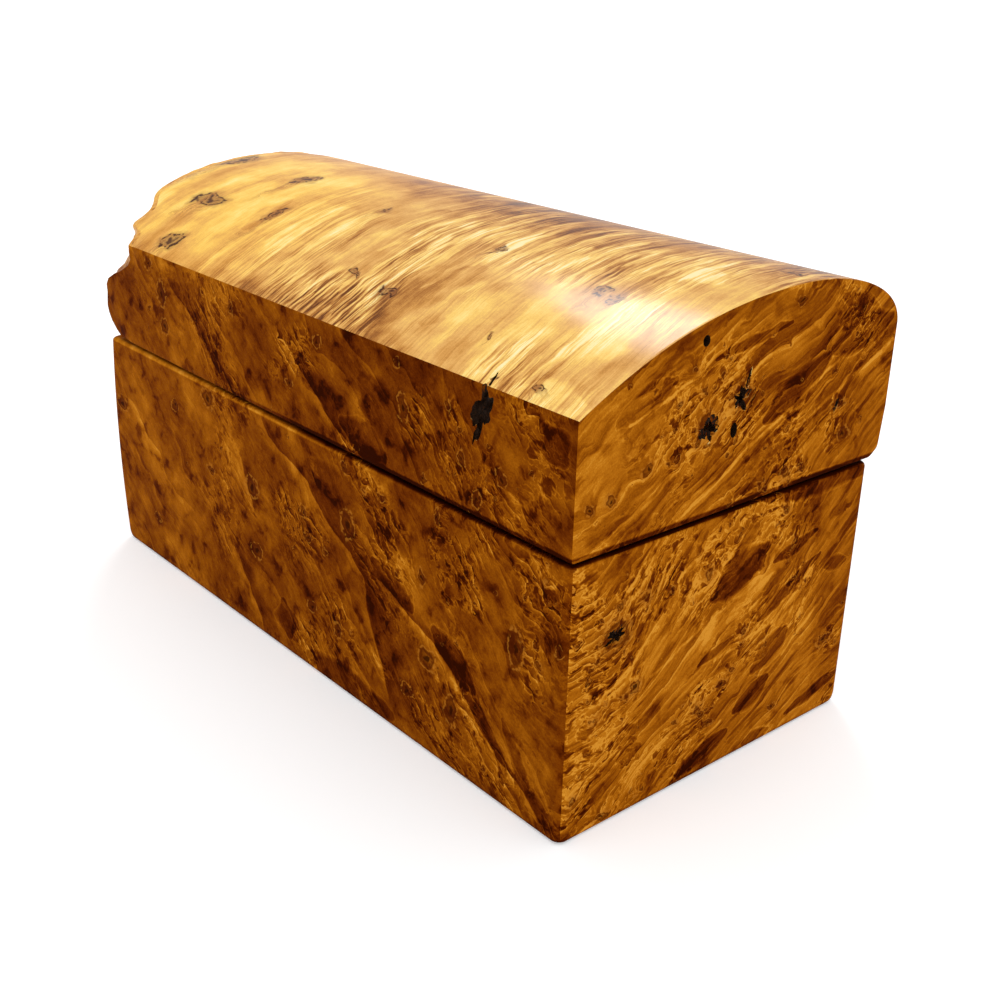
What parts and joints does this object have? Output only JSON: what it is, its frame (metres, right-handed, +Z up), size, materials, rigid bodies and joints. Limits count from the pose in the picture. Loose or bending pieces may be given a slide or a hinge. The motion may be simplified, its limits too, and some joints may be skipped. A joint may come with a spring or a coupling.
{
  "type": "jewelry box",
  "caption": "Solid burl box with a hollowed domed lid whose left end keeps its natural edge, on brass butt hinges, with a suede-lined well and a sliding ring tray.",
  "frame": {"origin": "middle of the base's footprint, on the underside of the felt, the surface that the box stands on", "axes": "+Z up; -Y is the front, with the long face; +X is the sawn end, and -X the end with the natural edge"},
  "size_m": [0.2163, 0.1008, 0.1134],
  "materials": {
    "burl_base": "polished",
    "burl_lid": "polished",
    "tray_wood": "satin",
    "brass": "satin",
    "suede": "matte",
    "bottom_felt": "matte",
    "bumper_leather": "matte"
  },
  "bodies": {
    "base": {"base_block": "burl_base", "base_wall_lining": "suede", "base_floor_pad": "suede", "bottom_felt": "bottom_felt", "bumper_left": "bumper_leather", "bumper_right": "bumper_leather", "hinge_left_base_leaf": "brass", "hinge_left_pin": "brass", "hinge_right_base_leaf": "brass", "hinge_right_pin": "brass", "screw_left_base_inner": "brass", "screw_left_base_outer": "brass", "screw_right_base_inner": "brass", "screw_right_base_outer": "brass"},
    "lid": {"lid_block": "burl_lid", "lid_wall_lining": "suede", "lid_pad": "suede", "hinge_left_lid_leaf": "brass", "hinge_right_lid_leaf": "brass", "screw_left_lid_inner": "brass", "screw_left_lid_outer": "brass", "screw_right_lid_inner": "brass", "screw_right_lid_outer": "brass"},
    "tray": {"tray_body": "tray_wood", "tray_divider": "tray_wood", "tray_pad": "suede", "ring_roll_1": "suede", "ring_roll_2": "suede", "ring_roll_3": "suede", "ring_roll_4": "suede"}
  },
  "joints": [
    {"name": "lid_hinge", "type": "hinge", "parent": "base", "child": "lid", "pos_m": [0, 0.0489, 0.06625], "axis": [-1, 0, 0], "range_deg": [0, 105]},
    {"name": "tray_slide", "type": "slide", "parent": "base", "child": "tray", "axis": [1, 0, 0], "range_m": [0, 0.094]}
  ]
}
